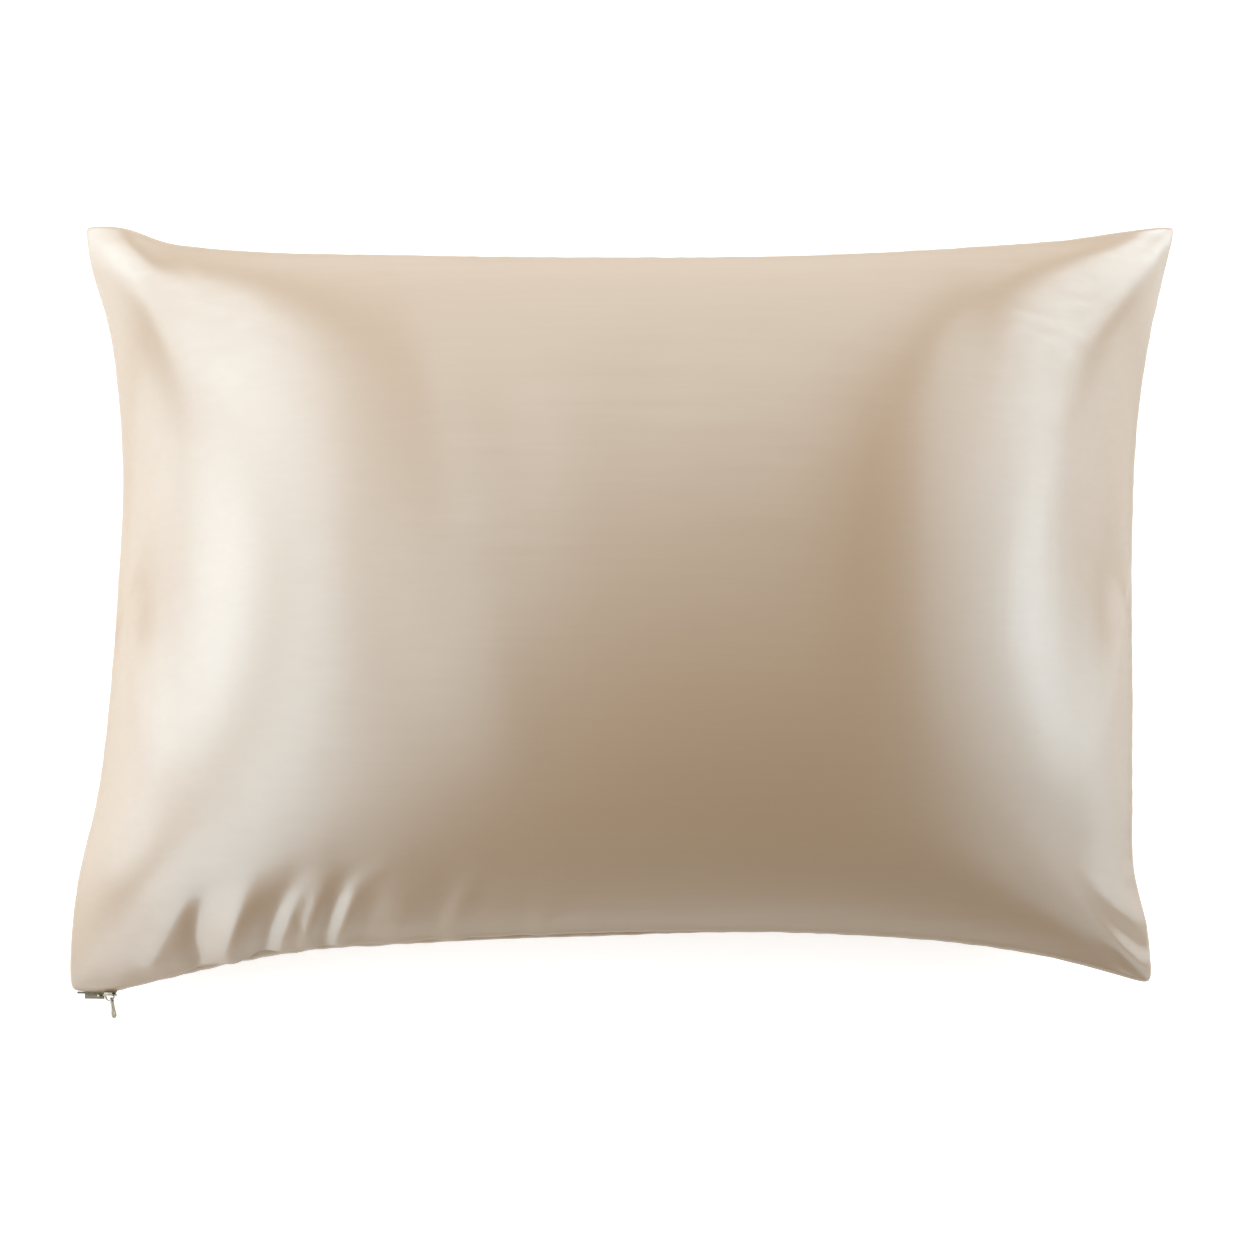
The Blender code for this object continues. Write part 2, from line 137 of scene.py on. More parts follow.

# ---------------------------------------------------------------- the fine form
# Creases listed one by one on the front panel, each a soft trough (below zero) or ridge along a bent line.
Crease = namedtuple("Crease", "start bend end start_width end_width depth")
CREASES = (
    # the gathers beside the zip's corner
    Crease((-0.2665, -0.224), (-0.2700, -0.198), (-0.2520, -0.170), 0.0062, 0.0085, -0.0042),
    Crease((-0.246, -0.220), (-0.241, -0.200), (-0.226, -0.166), 0.0085, 0.0085, 0.0046),
    Crease((-0.2265, -0.220), (-0.2205, -0.203), (-0.196, -0.164), 0.0058, 0.0065, -0.0044),
    Crease((-0.211, -0.212), (-0.206, -0.194), (-0.196, -0.172), 0.0042, 0.0045, 0.0020),
    Crease((-0.203, -0.212), (-0.199, -0.196), (-0.189, -0.176), 0.0036, 0.0045, -0.0017),
    Crease((-0.196, -0.211), (-0.191, -0.194), (-0.178, -0.168), 0.0050, 0.0060, 0.0027),
    Crease((-0.187, -0.211), (-0.1815, -0.194), (-0.164, -0.162), 0.0050, 0.0060, -0.0037),
    Crease((-0.176, -0.210), (-0.170, -0.192), (-0.158, -0.168), 0.0052, 0.0060, 0.0022),
    Crease((-0.164, -0.209), (-0.158, -0.194), (-0.148, -0.172), 0.0050, 0.0065, -0.0015),
    Crease((-0.284, -0.158), (-0.262, -0.168), (-0.240, -0.154), 0.0060, 0.0060, -0.0010),
    Crease((-0.296, -0.228), (-0.290, -0.210), (-0.280, -0.186), 0.0070, 0.0090, 0.0018),
    # the smaller ones on along the zip
    Crease((-0.141, -0.210), (-0.136, -0.196), (-0.127, -0.177), 0.0050, 0.0070, 0.0010),
    Crease((-0.120, -0.209), (-0.112, -0.192), (-0.098, -0.164), 0.0050, 0.0070, -0.0012),
    Crease((-0.106, -0.209), (-0.098, -0.190), (-0.088, -0.170), 0.0045, 0.0060, 0.0010),
    Crease((-0.092, -0.208), (-0.085, -0.194), (-0.076, -0.178), 0.0045, 0.0060, -0.0009),
    Crease((-0.064, -0.208), (-0.058, -0.196), (-0.048, -0.180), 0.0050, 0.0060, -0.0009),
    Crease((-0.050, -0.207), (-0.044, -0.196), (-0.036, -0.184), 0.0050, 0.0060, 0.0007),
    # the ridge down from the far right corner, with its shaded outer side
    Crease((0.350, 0.240), (0.341, 0.216), (0.334, 0.180), 0.0030, 0.0045, 0.0020),
    Crease((0.353, 0.228), (0.345, 0.204), (0.339, 0.172), 0.0030, 0.0040, -0.0022),
    # tucks by the near right corner
    Crease((0.336, -0.230), (0.318, -0.217), (0.302, -0.200), 0.0026, 0.0050, 0.0024),
    Crease((0.338, -0.219), (0.325, -0.210), (0.312, -0.197), 0.0030, 0.0045, -0.0022),
    Crease((0.331, -0.221), (0.338, -0.219), (0.345, -0.217), 0.0022, 0.0022, 0.0016),
    Crease((0.334, -0.199), (0.325, -0.194), (0.316, -0.187), 0.0030, 0.0045, 0.0007),
    Crease((0.329, -0.178), (0.320, -0.174), (0.310, -0.168), 0.0030, 0.0045, -0.0006),
    # a slight fold beside the far left corner
    Crease((-0.336, 0.214), (-0.331, 0.196), (-0.324, 0.170), 0.0040, 0.0070, -0.0007),
    # long, barely raised waves over the face
    Crease((-0.130, 0.205), (-0.100, 0.120), (-0.095, 0.020), 0.0220, 0.0300, 0.0009),
    Crease((-0.085, 0.200), (-0.052, 0.110), (-0.050, 0.000), 0.0200, 0.0300, -0.0009),
    Crease((-0.150, 0.060), (-0.140, -0.040), (-0.090, -0.130), 0.0220, 0.0280, -0.0008),
    Crease((-0.105, 0.040), (-0.085, -0.060), (-0.040, -0.120), 0.0220, 0.0280, 0.0008),
    Crease((0.030, 0.200), (0.020, 0.110), (0.010, 0.010), 0.0240, 0.0300, -0.0008),
    Crease((0.230, 0.210), (0.215, 0.130), (0.205, 0.040), 0.0180, 0.0260, -0.0009),
    Crease((0.275, 0.120), (0.255, 0.040), (0.215, -0.050), 0.0180, 0.0260, 0.0009),
)
CREASE_PAST_ENDS = 0.12  # a crease runs on this share of itself past both its ends
CREASE_STEPS = 32
CREASE_LEAD = 0.2  # it rises over this share of itself
CREASE_AT_START = 0.7  # having come this far up by its start
CREASE_FADE_FROM = 0.35
CREASE_FADE_OVER = 0.75

# Small puckers where the fabric is eased into a seam: the edge, the shares of it between which they run,
# their height, the run of one and how far they reach into the panel.
Pucker = namedtuple("Pucker", "edge first last height run reach")
FRONT_PUCKERS = (
    Pucker("zip", 0.36, 0.66, 0.00035, 0.017, 0.010),
    Pucker("zip", 0.66, 0.96, 0.00045, 0.013, 0.009),
    Pucker("far", 0.06, 0.94, 0.00022, 0.021, 0.009),
    Pucker("left", 0.08, 0.92, 0.00028, 0.019, 0.010),
    Pucker("right", 0.04, 0.36, 0.00050, 0.012, 0.012),
    Pucker("right", 0.36, 0.95, 0.00045, 0.015, 0.011),
)
BACK_PUCKERS = (
    Pucker("zip", 0.06, 0.38, 0.00140, 0.017, 0.016),
    Pucker("zip", 0.38, 0.96, 0.00060, 0.016, 0.012),
    Pucker("far", 0.05, 0.95, 0.00060, 0.018, 0.012),
    Pucker("left", 0.06, 0.94, 0.00070, 0.017, 0.014),
    Pucker("right", 0.05, 0.95, 0.00070, 0.015, 0.014),
)
PUCKER_EASE = 0.05  # they come and go over this share of the edge
PUCKER_DECAY = 1.5  # how suddenly they die out inside the panel
# Slow waves, each a size, a rate and a start, that make their spacing and their height uneven.
Wave = namedtuple("Wave", "size rate start")
PUCKER_SPACING = (Wave(0.22, 2.3, 0.0), Wave(0.17, 1.1, 1.9))
PUCKER_HEIGHTS = Wave(0.25, 0.9, 0.6)

SEAM_SINK = 0.0014  # the stitches pull the seam in this far behind the panels' rolled edges
ZIP_SINK = 0.0050  # and this much further along the zip, where the front panel's lip stands over it
ZIP_SINK_FROM = (0.055, 0.085)  # shares of the zip edge over which it begins
ZIP_SINK_TO = (0.26, 0.48)  # and over which it ends
SEAM_OUT_AT_END = 0.0011  # but at the slider's corner the hem comes out to meet the end of the zip
LIP_OUT = 0.0005  # the lip reaches out this far over the zip
LIP_WIDTH = 0.0035
LIP_DROP = 0.0042  # and the back panel falls away this far below it
LIP_DROP_AT = 0.0040  # this far from the seam
CORNER_BLUNT = 0.0024  # the turned corners are blunt: how far the tips are held back
CORNER_BLUNT_REACH = 0.0042
ROLL_HEIGHT = 0.0010  # the seam allowance inside lifts the panels this much beside the seam
ROLL_FROM_SEAM = 0.0028
ROLL_HALF_WIDTH = 0.0022

COLUMNS = 126
ROWS = 90
EDGE_STEPS = (0.0008, 0.0018, 0.0032, 0.0052)  # the first stations inside a seam
EVEN_ROUNDS = 3  # how often the mesh's lines are spaced again, along and across in turn
NEAR_ZERO = 1e-12
FAR_AWAY = 1e9

# ---------------------------------------------------------------- cloth simulation
SIM_FRAMES = 20
SIM_QUALITY = 5
SIM_PRESSURE = 4.0
SIM_MASS = 0.1
SIM_STRETCH = 20
SIM_SHEAR = 5
SIM_BENDING = 0.5
SIM_DAMPING = 10
SIM_AIR = 2
SIM_MOST_MOVE = 0.007  # no point moves further than this
ON_FLOOR = 0.0004  # points of the back panel lower than this lie on the floor

# ---------------------------------------------------------------- the satin's colours
SATIN_WARM = (0.485, 0.308, 0.162)
SATIN_PALE = (0.470, 0.316, 0.180)
SATIN_THREAD = (0.390, 0.245, 0.125)
SATIN_GLOSS_TINT = (0.74, 0.91, 1.0)

# ---------------------------------------------------------------- the zip, as in the CAD
CLEARANCE = 0.0003
COIL_RADIUS = 0.0009
COIL_LENGTH = 0.0280
COIL_START = 0.0040  # from the corner
TAPE_THICKNESS = 0.0008
TAPE_REACH = 0.0042
TAPE_LENGTH = 0.0140
STOP_SIZE = (0.0022, 0.0012, 0.0030)
STOP_TO_SLIDER = 0.0030
SLIDER_LENGTH = 0.0092
SLIDER_WIDTH = 0.0064
SLIDER_MIDDLE_X = -0.3262
SLIDER_PLATE = 0.0010
BRIDGE_RISE = 0.0032
BRIDGE_HALF_LENGTH = 0.0030
BRIDGE_SQUARENESS = 0.7
PULL_LENGTH = 0.0135
PULL_THICKNESS = 0.0012
PULL_NECK = 0.0036
PULL_WIDTH = 0.0056
PULL_WAIST = 0.35
PULL_EYE_RADIUS = 0.00115
PULL_ON_BRIDGE_X = 0.0014
PULL_TURN = math.radians(10)
# and its finer parts
WIRE_RADIUS = 0.00020  # the coil's nylon wire
COIL_PITCH = 0.0010
COIL_FLATNESS = 0.75  # its turns are pressed this flat towards the seam
WIRE_STEPS = 12  # points to a turn
TAPE_STEPS = (56, 16)
TAPE_SPARE = 0.0002  # left off each face of the tape, so that its ripples stay inside its thickness
TAPE_RIPPLE = 0.00005
TAPE_RIPPLE_RATES = (31, 5)
STITCH_DEPTH = 0.00012
STITCH_LINE = (-0.12, 0.05)  # where the stitches run across the tape, and how wide, as shares of it
STITCH_RATE = 70
STITCH_EVEN = 0.6  # the share of their depth that runs on between them
STOP_ROUNDING = 0.0006
STOP_RIB_ROUNDING = 0.0002
STOP_RIB_HEIGHT = 0.0003  # the ribs stand this far out of the stop
STOP_RIB_BURIED = 0.0001
STOP_RIBS = (-0.6325, 0.0, 0.6325)  # where the ribs lie, in half lengths of the stop
STOP_RIB_SHARE = (0.9, 0.22)  # their own half sizes, as shares of the stop's
STOP_EDGE = 0.00010
SHIELD_POINTS = 40
SHIELD_SQUARENESS = (0.62, 0.55)
SHIELD_TAPER = 0.16  # the slider's plate is this much narrower at one end
FLANGE_INSET = 0.00075
FLANGE_SHORTER = 0.0016
FLANGE_HALF_THICKNESS = 0.0004
FLANGE_ROUNDING = 0.0003
BRIDGE_STEPS = 14
BRIDGE_THICKNESS = 0.0006
BRIDGE_HALF_WIDTH = 0.0008
SLIDER_EDGE = 0.00022
PULL_WINDOW = (0.0010, 0.0022)  # half sizes of the slot near the pull's free end
PULL_WINDOW_AT = 0.0098
PULL_HOLE_STEPS = 24
PULL_EDGE = 0.00022

# ---------------------------------------------------------------- the view
VIEW_TARGET = (0.0010, -0.0068, 0.078)
VIEW_TILT = math.radians(4.0)  # from straight above, towards the zip edge
VIEW_SIDE = math.radians(1.0)  # and towards the right-hand end
VIEW_DISTANCE = 2.40
VIEW_WIDTH = 0.785  # seen at the target
SENSOR_WIDTH = 36  # millimetres

# ---------------------------------------------------------------- the light
# Soft boxes all round, set by the turn about the case (0 is its right-hand end, 90 its far edge) and by
# how far down from straight above each stands, in degrees.
Softbox = namedtuple("Softbox", "around down watts")
SOFTBOXES = (
    # low, all round: they draw the bright bands along the sides
    Softbox(45, 70, 18),
    Softbox(135, 70, 18),
    Softbox(180, 70, 12),
    Softbox(0, 70, 8),
    Softbox(225, 70, 8),
    Softbox(315, 70, 6),
    Softbox(90, 70, 5),
    # half way up: they widen the bands inwards
    Softbox(0, 48, 5),
    Softbox(225, 48, 5),
    Softbox(180, 48, 4),
    Softbox(90, 48, 4),
    # high, for the middle of the face
    Softbox(180, 25, 7),
    Softbox(90, 25, 4),
)
SOFTBOX_SIZE = 1.2
LIGHT_TINT = (0.96, 0.98, 1.0)  # daylight
LIGHT_TARGET = (0, 0, 0.08)
LIGHT_DISTANCE = 1.9
ROOM_LIGHT = 0.02
FLOOR_SIZE = 12
FLOOR_COLOUR = (0.90, 0.89, 0.88, 1)
FLOOR_GLOW = 0.42  # stands for the wide white sweep that the case lies on
WHITE = (1, 1, 1, 1)


# ---------------------------------------------------------------- the seam line and the two panels
def read_smooth(table, column, share):
    """One column of an edge table, read on a smooth curve through its rows."""
    places = np.array([row.share for row in table])
    values = np.array([getattr(row, column) for row in table])
    slopes = np.gradient(values, places)
    k = np.clip(np.searchsorted(places, share, side="right") - 1, 0, len(places) - 2)
    step = places[k + 1] - places[k]
    t = (share - places[k]) / step
    return (
        values[k] * (1 + 2 * t) * (1 - t) ** 2
        + slopes[k] * step * t * (1 - t) ** 2
        + values[k + 1] * t**2 * (3 - 2 * t)
        + slopes[k + 1] * step * t**2 * (t - 1)
    )


def edge_points(table, first, last, share, inward):
    """Points of the seam between two corners, drawn in and lifted as its table says."""
    a, b = np.array(CORNERS[first]), np.array(CORNERS[last])
    points = a + (b - a) * share[..., None]
    points += np.array(inward) * read_smooth(table, "draw_in", share)[..., None]
    points[..., 2] += read_smooth(table, "lift", share)
    return points


def droop(u, v):
    """How far the corners hang down at a place."""
    total = np.zeros_like(u)
    for name, corner in DROOPS.items():
        along = (1 - u if "right" in name else u) * FLAT_LENGTH
        across = (1 - v if "far" in name else v) * FLAT_WIDTH
        away = (along / corner.along) ** corner.suddenness
        total += corner.depth * np.exp(-away - across / corner.across)
    return total


def seam_surface(u, v):
    """The patch spanned by the four seam edges."""
    near = edge_points(ZIP_EDGE, "zip_left", "zip_right", u, (0, 1, 0))
    far = edge_points(FAR_EDGE, "far_left", "far_right", u, (0, -1, 0))
    left = edge_points(LEFT_EDGE, "zip_left", "far_left", v, (1, 0, 0))
    right = edge_points(RIGHT_EDGE, "zip_right", "far_right", v, (-1, 0, 0))
    a, b = np.array(CORNERS["zip_left"]), np.array(CORNERS["zip_right"])
    c, d = np.array(CORNERS["far_left"]), np.array(CORNERS["far_right"])
    across, along = v[..., None], u[..., None]
    flat = (a + (b - a) * along) * (1 - across) + (c + (d - c) * along) * across
    points = near * (1 - across) + far * across + left * (1 - along) + right * along - flat
    points[..., 2] -= droop(u, v)
    return points


def fullness(u, v, flatness):
    """How full the case is at a place: 0 on the seam, 1 in the middle, thin towards the corners."""
    along = np.maximum(0.0, 1 - np.abs(2 * u - 1) ** flatness[0])
    across = np.maximum(0.0, 1 - np.abs(2 * v - 1) ** flatness[1])
    soft = SEAM_SOFTNESS * (1 - (1 - along) * (1 - across)) ** 2
    full = math.sqrt(1 + SEAM_SOFTNESS) - math.sqrt(SEAM_SOFTNESS)
    return (np.sqrt(along * across + soft) - np.sqrt(soft)) / full


def front_points(u, v):
    """The front panel: the seam's patch raised by the filling."""
    points = seam_surface(u, v)
    points[..., 2] += CROWN * fullness(u, v, FRONT_FLATNESS)
    return points


def back_points(u, v):
    """The back panel: it hangs from the seam, bulges past the zip and lies flat on the floor."""
    points = seam_surface(u, v)
    below = v * FLAT_WIDTH / BULGE_BELOW_SEAM
    comes, goes = [ease((u - first) / (last - first)) for first, last in (BULGE_RISE, BULGE_FALL)]
    points[..., 1] -= BULGE * comes * (1 - goes) * below * np.exp(1 - below)
    height = points[..., 2] - BACK_REACH * fullness(u, v, BACK_FLATNESS)
    eased = np.maximum(0, height + FLOOR_SOFTNESS) ** 2 / (4 * FLOOR_SOFTNESS)
    points[..., 2] = np.where(height < FLOOR_SOFTNESS, eased, height)
    return points


def even_out(points, us, vs):
    """The same panel, its mesh lines spaced so that any stretch is even along each of them."""
    for _ in range(EVEN_ROUNDS):
        for lines, shares in ((points.swapaxes(0, 1), us), (points, vs)):
            for line in lines:
                steps = np.linalg.norm(np.diff(line, axis=0), axis=1)
                length = np.concatenate([[0], np.cumsum(steps)])
                for axis in range(3):
                    line[:, axis] = np.interp(shares * length[-1], length, line[:, axis].copy())
    return points


def normals_of(points):
    """Unit normals of a grid of points, out of the front."""
    along = np.gradient(points, axis=0)
    across = np.gradient(points, axis=1)
    normals = np.cross(along, across)
    return normals / np.maximum(np.linalg.norm(normals, axis=-1, keepdims=True), NEAR_ZERO)


def crease_field(x, y):
    """How far each place of the front is raised or sunk by the listed creases."""
    field = np.zeros_like(x)
    for crease in CREASES:
        near = np.full_like(x, FAR_AWAY)
        along = np.zeros_like(x)
        a, b, c = (np.array(point) for point in (crease.start, crease.bend, crease.end))
        for t in np.linspace(-CREASE_PAST_ENDS, 1 + CREASE_PAST_ENDS, CREASE_STEPS):
            px, py = a * (1 - t) ** 2 + b * 2 * t * (1 - t) + c * t * t
            distance = np.hypot(x - px, y - py)
            closer = distance < near
            near = np.where(closer, distance, near)
            along = np.where(closer, t, along)
        widening = crease.end_width - crease.start_width
        width = crease.start_width + widening * np.clip(along, 0, 1)
        fade = 1 - ease((along - CREASE_FADE_FROM) / CREASE_FADE_OVER)
        body = ease(along / CREASE_LEAD + CREASE_AT_START) * fade
        field += crease.depth * body * np.exp(-((near / width) ** 2))
    return field


def ease(share):
    """A smooth step from 0 to 1."""
    share = np.clip(share, 0, 1)
    return share * share * (3 - 2 * share)


def slow_wave(wave, turns):
    return wave.size * np.sin(turns * wave.rate + wave.start)


def pucker_field(puckers, u, v):
    """The height of the small ripples beside the seams, none on the seam itself."""
    edges = {
        "zip": (u, v * FLAT_WIDTH, FLAT_LENGTH),
        "far": (u, (1 - v) * FLAT_WIDTH, FLAT_LENGTH),
        "left": (v, u * FLAT_LENGTH, FLAT_WIDTH),
        "right": (v, (1 - u) * FLAT_LENGTH, FLAT_WIDTH),
    }
    field = np.zeros_like(u)
    for pucker in puckers:
        share, inside, length = edges[pucker.edge]
        turns = share * length / pucker.run
        first, second = [slow_wave(wave, turns) for wave in PUCKER_SPACING]
        phase = 2 * math.pi * (turns + first + second)
        uneven = 1 - PUCKER_HEIGHTS.size + slow_wave(PUCKER_HEIGHTS, turns)
        window = ease((share - pucker.first) / PUCKER_EASE) * ease((pucker.last - share) / PUCKER_EASE)
        fading = np.exp(-((inside / pucker.reach) ** PUCKER_DECAY))
        depth = np.minimum(1, inside / ROLL_FROM_SEAM) * fading
        field += pucker.height * np.sin(phase) * uneven * window * depth
    return field


def seam_roll(u, v):
    """How far the panels stand up beside the seam."""
    inside = np.minimum(np.minimum(u, 1 - u) * FLAT_LENGTH, np.minimum(v, 1 - v) * FLAT_WIDTH)
    return ROLL_HEIGHT * np.exp(-(((inside - ROLL_FROM_SEAM) / ROLL_HALF_WIDTH) ** 2))


def zip_begins(u):
    """0 at the slider's corner, 1 from where the front panel's lip covers the zip."""
    low, high = ZIP_SINK_FROM
    return ease((u - low) / (high - low))


def along_zip(u):
    """1 where the front panel's lip covers the zip, 0 on the rest of that edge."""
    low, high = ZIP_SINK_TO
    return zip_begins(u) * (1 - ease((u - low) / (high - low)))


def seam_sink(u, v):
    """How far the seam is pulled in: further along the zip, and outwards behind its shown end."""
    on_zip_edge = v == 0
    shown_end = on_zip_edge * (1 - zip_begins(u))
    usual = SEAM_SINK * (1 - shown_end) - SEAM_OUT_AT_END * shown_end
    return usual + ZIP_SINK * along_zip(u) * on_zip_edge


def corner_blunt(u, v):
    """How far places near the tips are held back, towards the middle."""
    from_tip = np.minimum(u, 1 - u) * FLAT_LENGTH + np.minimum(v, 1 - v) * FLAT_WIDTH
    return CORNER_BLUNT * np.exp(-from_tip / CORNER_BLUNT_REACH)


def stations(count, length):
    """Shares of a side: close together by the seams, even in between."""
    steps = np.array(EDGE_STEPS) / length
    inner = np.linspace(steps[-1], 1 - steps[-1], count - 2 * len(steps) + 1)
    return np.concatenate([[0.0], steps[:-1], inner, 1 - steps[:-1][::-1], [1.0]])


class Panels:
    """The two panels, sewn all round: their fabric coordinates, which points they share, and their mesh."""

    def __init__(self):
        self.us = stations(COLUMNS, FLAT_LENGTH)
        self.vs = stations(ROWS, FLAT_WIDTH)
        self.u, self.v = np.meshgrid(self.us, self.vs, indexing="ij")
        u, v = self.u, self.v
        self.rim = (u == 0) | (u == 1) | (v == 0) | (v == 1)
        self.front_number = np.arange(u.size).reshape(u.shape)
        self.back_number = self.front_number.copy()
        self.back_number[~self.rim] = u.size + np.arange((~self.rim).sum())
        self.count = u.size + (~self.rim).sum()

    def joined(self, front, back):
        """Values on the two grids as one list, with the seam's own taken from the front."""
        values = np.zeros((self.count, *front.shape[2:]))
        values[self.back_number] = back
        values[self.front_number] = front
        return values

    def faces(self):
        quads = []
        for number, turned in ((self.front_number, False), (self.back_number, True)):
            a, b = number[:-1, :-1].ravel(), number[1:, :-1].ravel()
            c, d = number[1:, 1:].ravel(), number[:-1, 1:].ravel()
            quads.append(np.stack([a, d, c, b] if turned else [a, b, c, d], axis=1))
        return np.concatenate(quads)

    def mesh_object(self, name):
        """The filled case, with the listed creases on its front."""
        front = even_out(front_points(self.u, self.v), self.us, self.vs)
        back = even_out(back_points(self.u, self.v), self.us, self.vs)
        folds = crease_field(front[..., 0], front[..., 1])
        front += normals_of(front) * folds[..., None] * ~self.rim[..., None]
        mesh = bpy.data.meshes.new(name)
        mesh.from_pydata(self.joined(front, back).tolist(), [], self.faces().tolist())
        mesh.shade_smooth()
        return link(name, mesh)

    def laid_flat(self):
        """Every point's place on the panels as they were cut."""
        flat = np.stack([self.u - 0.5, self.v - 0.5, np.zeros_like(self.u)], axis=-1)
        flat *= (FLAT_LENGTH, FLAT_WIDTH, 0)
        return self.joined(flat, flat)

    def on_floor(self, points):
        """Which places of the back panel lie on the floor."""
        return points[self.back_number][..., 2] < ON_FLOOR

    def add_seam_detail(self, obj):
        """Puckers beside the seams, rolled edges, and the seam itself pulled in by its stitches."""
        points = positions(obj)
        front, back = points[self.front_number], points[self.back_number]
        rest = self.on_floor(points)
        front_lift = pucker_field(FRONT_PUCKERS, self.u, self.v) + seam_roll(self.u, self.v)
        back_lift = pucker_field(BACK_PUCKERS, self.u, self.v) + seam_roll(self.u, self.v)
        front_lift[self.rim] = 0
        back_lift[self.rim | rest] = 0
        out_of_back = -normals_of(back)
        inward = np.zeros_like(front)
        middle = (front + back) / 2
        inward[0, 1:-1] = middle[1, 1:-1] - front[0, 1:-1]
        inward[-1, 1:-1] = middle[-2, 1:-1] - front[-1, 1:-1]
        inward[1:-1, -1] = middle[1:-1, -2] - front[1:-1, -1]
        inward /= np.maximum(np.linalg.norm(inward, axis=-1, keepdims=True), NEAR_ZERO)
        # the back panel bulges out past the zip, so there its neighbours don't show which way is in
        inward[:, 0] = (0, 1, 0)
        inward *= seam_sink(self.u, self.v)[..., None]
        front += normals_of(front) * front_lift[..., None] + inward
        back += out_of_back * back_lift[..., None]
        from_zip = self.v * FLAT_WIDTH
        lip = np.exp(-((from_zip / LIP_WIDTH) ** 2))
        front[..., 1] -= LIP_OUT * along_zip(self.u) * lip * ~self.rim
        fall = from_zip / LIP_DROP_AT
        back[..., 2] -= LIP_DROP * along_zip(self.u) * fall * np.exp(1 - fall)
        for panel in (front, back):
            panel[..., :2] -= np.sign(panel[..., :2]) * corner_blunt(self.u, self.v)[..., None]
        set_positions(obj, self.joined(front, back))


def positions(obj):
    """A mesh's vertices, as one row each."""
    values = np.empty(len(obj.data.vertices) * 3, np.float32)
    obj.data.vertices.foreach_get("co", values)
    return values.reshape(-1, 3).astype(float)


def set_positions(obj, points):
    obj.data.vertices.foreach_set("co", points.astype(np.float32).ravel())
    obj.data.update()


def swell(obj, laid_flat, held):
    """Cloth simulation: under the filling's pressure the panels settle towards their cut size.

    The held points, on the seam and on the floor, stay where they are. The movement is small.
    """
    start = positions(obj)
    obj.shape_key_add(name="Basis")
    flat_key = obj.shape_key_add(name="laid_flat")
    flat_key.data.foreach_set("co", laid_flat.astype(np.float32).ravel())
    flat_key.value = 0
    pins = obj.vertex_groups.new(name="held")
    pins.add(np.nonzero(held)[0].tolist(), 1.0, "REPLACE")
    cloth = obj.modifiers.new("swell", "CLOTH")
    cloth.settings.rest_shape_key = flat_key
    cloth.settings.vertex_group_mass = "held"
    cloth.settings.quality = SIM_QUALITY
    cloth.settings.mass = SIM_MASS
    cloth.settings.tension_stiffness = SIM_STRETCH
    cloth.settings.compression_stiffness = SIM_STRETCH
    cloth.settings.shear_stiffness = SIM_SHEAR
    cloth.settings.bending_stiffness = SIM_BENDING
    cloth.settings.tension_damping = SIM_DAMPING
    cloth.settings.compression_damping = SIM_DAMPING
    cloth.settings.shear_damping = SIM_DAMPING
    cloth.settings.air_damping = SIM_AIR
    cloth.settings.use_pressure = True
    cloth.settings.uniform_pressure_force = SIM_PRESSURE
    cloth.settings.effector_weights.gravity = 0
    cloth.collision_settings.use_collision = False
    cloth.collision_settings.use_self_collision = False
    cloth.point_cache.frame_end = SIM_FRAMES
    scene = bpy.context.scene
    for frame_number in range(1, SIM_FRAMES + 1):
        scene.frame_set(frame_number)
    graph = bpy.context.evaluated_depsgraph_get()
    moved = positions(obj.evaluated_get(graph))
    obj.modifiers.remove(cloth)
    obj.shape_key_clear()
    scene.frame_set(1)
    move = moved - start
    length = np.linalg.norm(move, axis=1, keepdims=True)
    move *= SIM_MOST_MOVE / np.hypot(length, SIM_MOST_MOVE)
    set_positions(obj, start + move)


# ---------------------------------------------------------------- the zip's pieces
def seam_at(x):
    """The zip edge's seam at a place along the long side."""
    left, right = CORNERS["zip_left"], CORNERS["zip_right"]
    share = np.array([(x - left.x) / (right.x - left.x)])
    return Vector(seam_surface(share, np.zeros(1))[0])


def zip_line(x):
    """The closed zip's own line, just outside the seam, before it is tilted to follow the seam down."""
    return Vector((x, seam_at(x).y - CLEARANCE - COIL_RADIUS, seam_at(SLIDER_MIDDLE_X).z))


def tilt_with_seam(piece):
    """Turns a piece of the zip about the slider's middle on to the slope of the seam there."""
    reach = COIL_LENGTH / 2
    before, after = seam_at(SLIDER_MIDDLE_X - reach), seam_at(SLIDER_MIDDLE_X + reach)
    slope = math.atan2(after.z - before.z, after.x - before.x)
    middle = zip_line(SLIDER_MIDDLE_X)
    turn = Matrix.Translation(middle) @ Matrix.Rotation(-slope, 4, "Y") @ Matrix.Translation(-middle)
    piece.matrix_basis = turn @ piece.matrix_basis


def link(name, data):
    obj = bpy.data.objects.new(name, data)
    bpy.context.scene.collection.objects.link(obj)
    return obj


def make_coil():
    """The two nylon coils, their turns one inside the other."""
    curve = bpy.data.curves.new("zip_coil_turns", "CURVE")
    curve.dimensions = "3D"
    curve.bevel_depth = WIRE_RADIUS
    curve.bevel_resolution = 2
    curve.use_fill_caps = True
    radius = COIL_RADIUS - WIRE_RADIUS
    count = round(COIL_LENGTH / COIL_PITCH * WIRE_STEPS)
    start = CORNERS["zip_left"].x + COIL_START
    for side in (-1, 1):
        spline = curve.splines.new("POLY")
        spline.points.add(count)
        for i, point in enumerate(spline.points):
            turn = 2 * math.pi * i / WIRE_STEPS + (math.pi if side > 0 else 0)
            place = zip_line(start + COIL_LENGTH * i / count)
            place += Vector((0, radius * COIL_FLATNESS * math.sin(turn), radius * math.cos(turn)))
            point.co = (*place, 1)
    return link("zip_coil_turns", curve)


